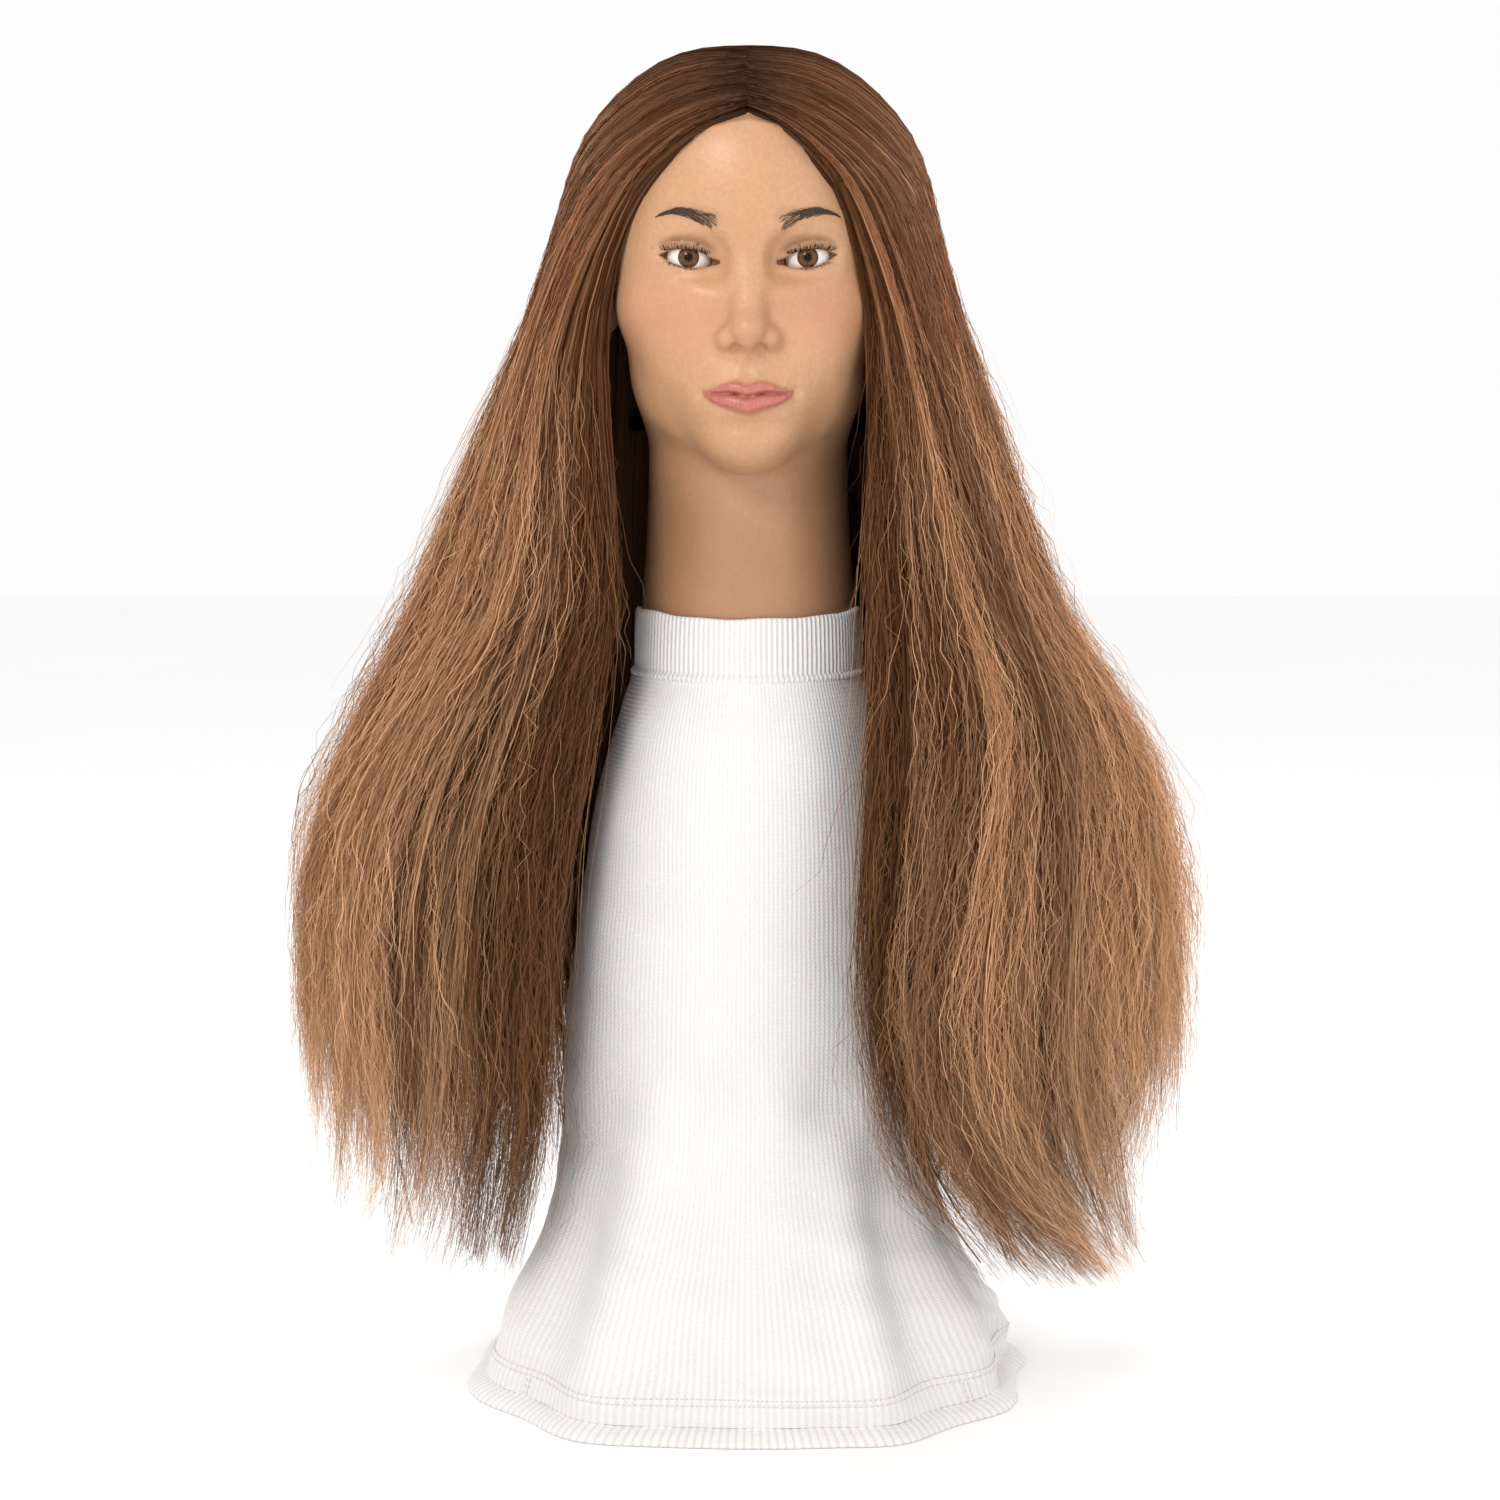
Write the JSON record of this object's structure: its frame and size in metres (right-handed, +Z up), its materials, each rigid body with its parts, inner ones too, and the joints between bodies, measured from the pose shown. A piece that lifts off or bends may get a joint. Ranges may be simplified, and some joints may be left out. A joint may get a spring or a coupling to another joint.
{
  "type": "mannequin training head",
  "caption": "Life-size vinyl mannequin head with a long centre-parted wig, turning on a weighted height-adjustable stand under a rib-knit mock-neck top.",
  "frame": {"origin": "on the surface that the stand rests on, under the middle pad, on the axis of the post", "axes": "+Z up along the post, the face looks along -Y, +X is the head's own left"},
  "size_m": [0.482, 0.2992, 0.747],
  "materials": {
    "steel_grey": "satin powder coat",
    "steel_zinc": "zinc plated",
    "abs_dark": "fine moulded texture",
    "plug_plastic": "turned, satin",
    "nylon_white": "satin",
    "feet_rubber": "matt",
    "fibreboard": "raw",
    "form_plastic": "blow moulded, matt",
    "rib_knit": "white rib knit",
    "vinyl_skin": "warm tan, satin",
    "eye_acrylic": "clear gloss over a painted iris",
    "lash_fibre": "fine dark fibre",
    "cap_net": "stretch net",
    "skin_lace": "sheer skin-toned lace",
    "comb_metal": "dark lacquer",
    "hair_brown": "medium brown hair, darker at the root, golden at the ends"
  },
  "bodies": {
    "base": {"base_plate": "steel_grey", "base_cover": "abs_dark", "rubber_feet": "feet_rubber", "post_flange": "steel_zinc", "flange_screws": "steel_zinc", "outer_post": "steel_zinc", "bush_lower": "nylon_white", "bush_upper": "nylon_white", "lock_boss": "steel_zinc", "form_lower_plate": "fibreboard", "form_upper_plate": "fibreboard", "body_form": "form_plastic", "form_screws": "steel_zinc", "garment_body": "rib_knit", "collar_band": "rib_knit", "hem_band": "rib_knit"},
    "mast": {"inner_post": "steel_zinc", "neck_plug": "plug_plastic", "thrust_washer": "nylon_white", "plug_bolt": "steel_zinc"},
    "knob": {"lock_knob": "abs_dark", "lock_stud": "steel_zinc"},
    "head": {"head_shell": "vinyl_skin", "neck_plate": "plug_plastic", "neck_socket": "plug_plastic", "socket_screws": "steel_zinc", "eye_left": "eye_acrylic", "eye_right": "eye_acrylic", "lash_strips": "lash_fibre"},
    "wig": {"wig_cap": "cap_net", "lace_front": "skin_lace", "parting_strip": "skin_lace", "ear_tab_left": "cap_net", "ear_tab_right": "cap_net", "nape_band": "cap_net", "strap_hooks": "comb_metal", "cap_combs": "comb_metal", "weft_rows": "hair_brown", "hair_crown": "hair_brown", "hair_front_left": "hair_brown", "hair_front_right": "hair_brown", "hair_side_left": "hair_brown", "hair_side_right": "hair_brown", "hair_back_left": "hair_brown", "hair_back_right": "hair_brown"}
  },
  "joints": [
    {"name": "height_slide", "type": "slide", "parent": "base", "child": "mast", "axis": [0, 0, 1], "range_m": [0, 0.06]},
    {"name": "lock_knob_turn", "type": "hinge", "parent": "base", "child": "knob", "pos_m": [0, 0.05, 0.086], "axis": [0, 1, 0], "range_deg": [0, 360]},
    {"name": "head_turn", "type": "hinge", "parent": "mast", "child": "head", "pos_m": [0, 0, 0.4], "axis": [0, 0, 1], "continuous": true},
    {"name": "wig_lift", "type": "slide", "parent": "head", "child": "wig", "axis": [0, 0, 1], "range_m": [0, 0.28]}
  ]
}
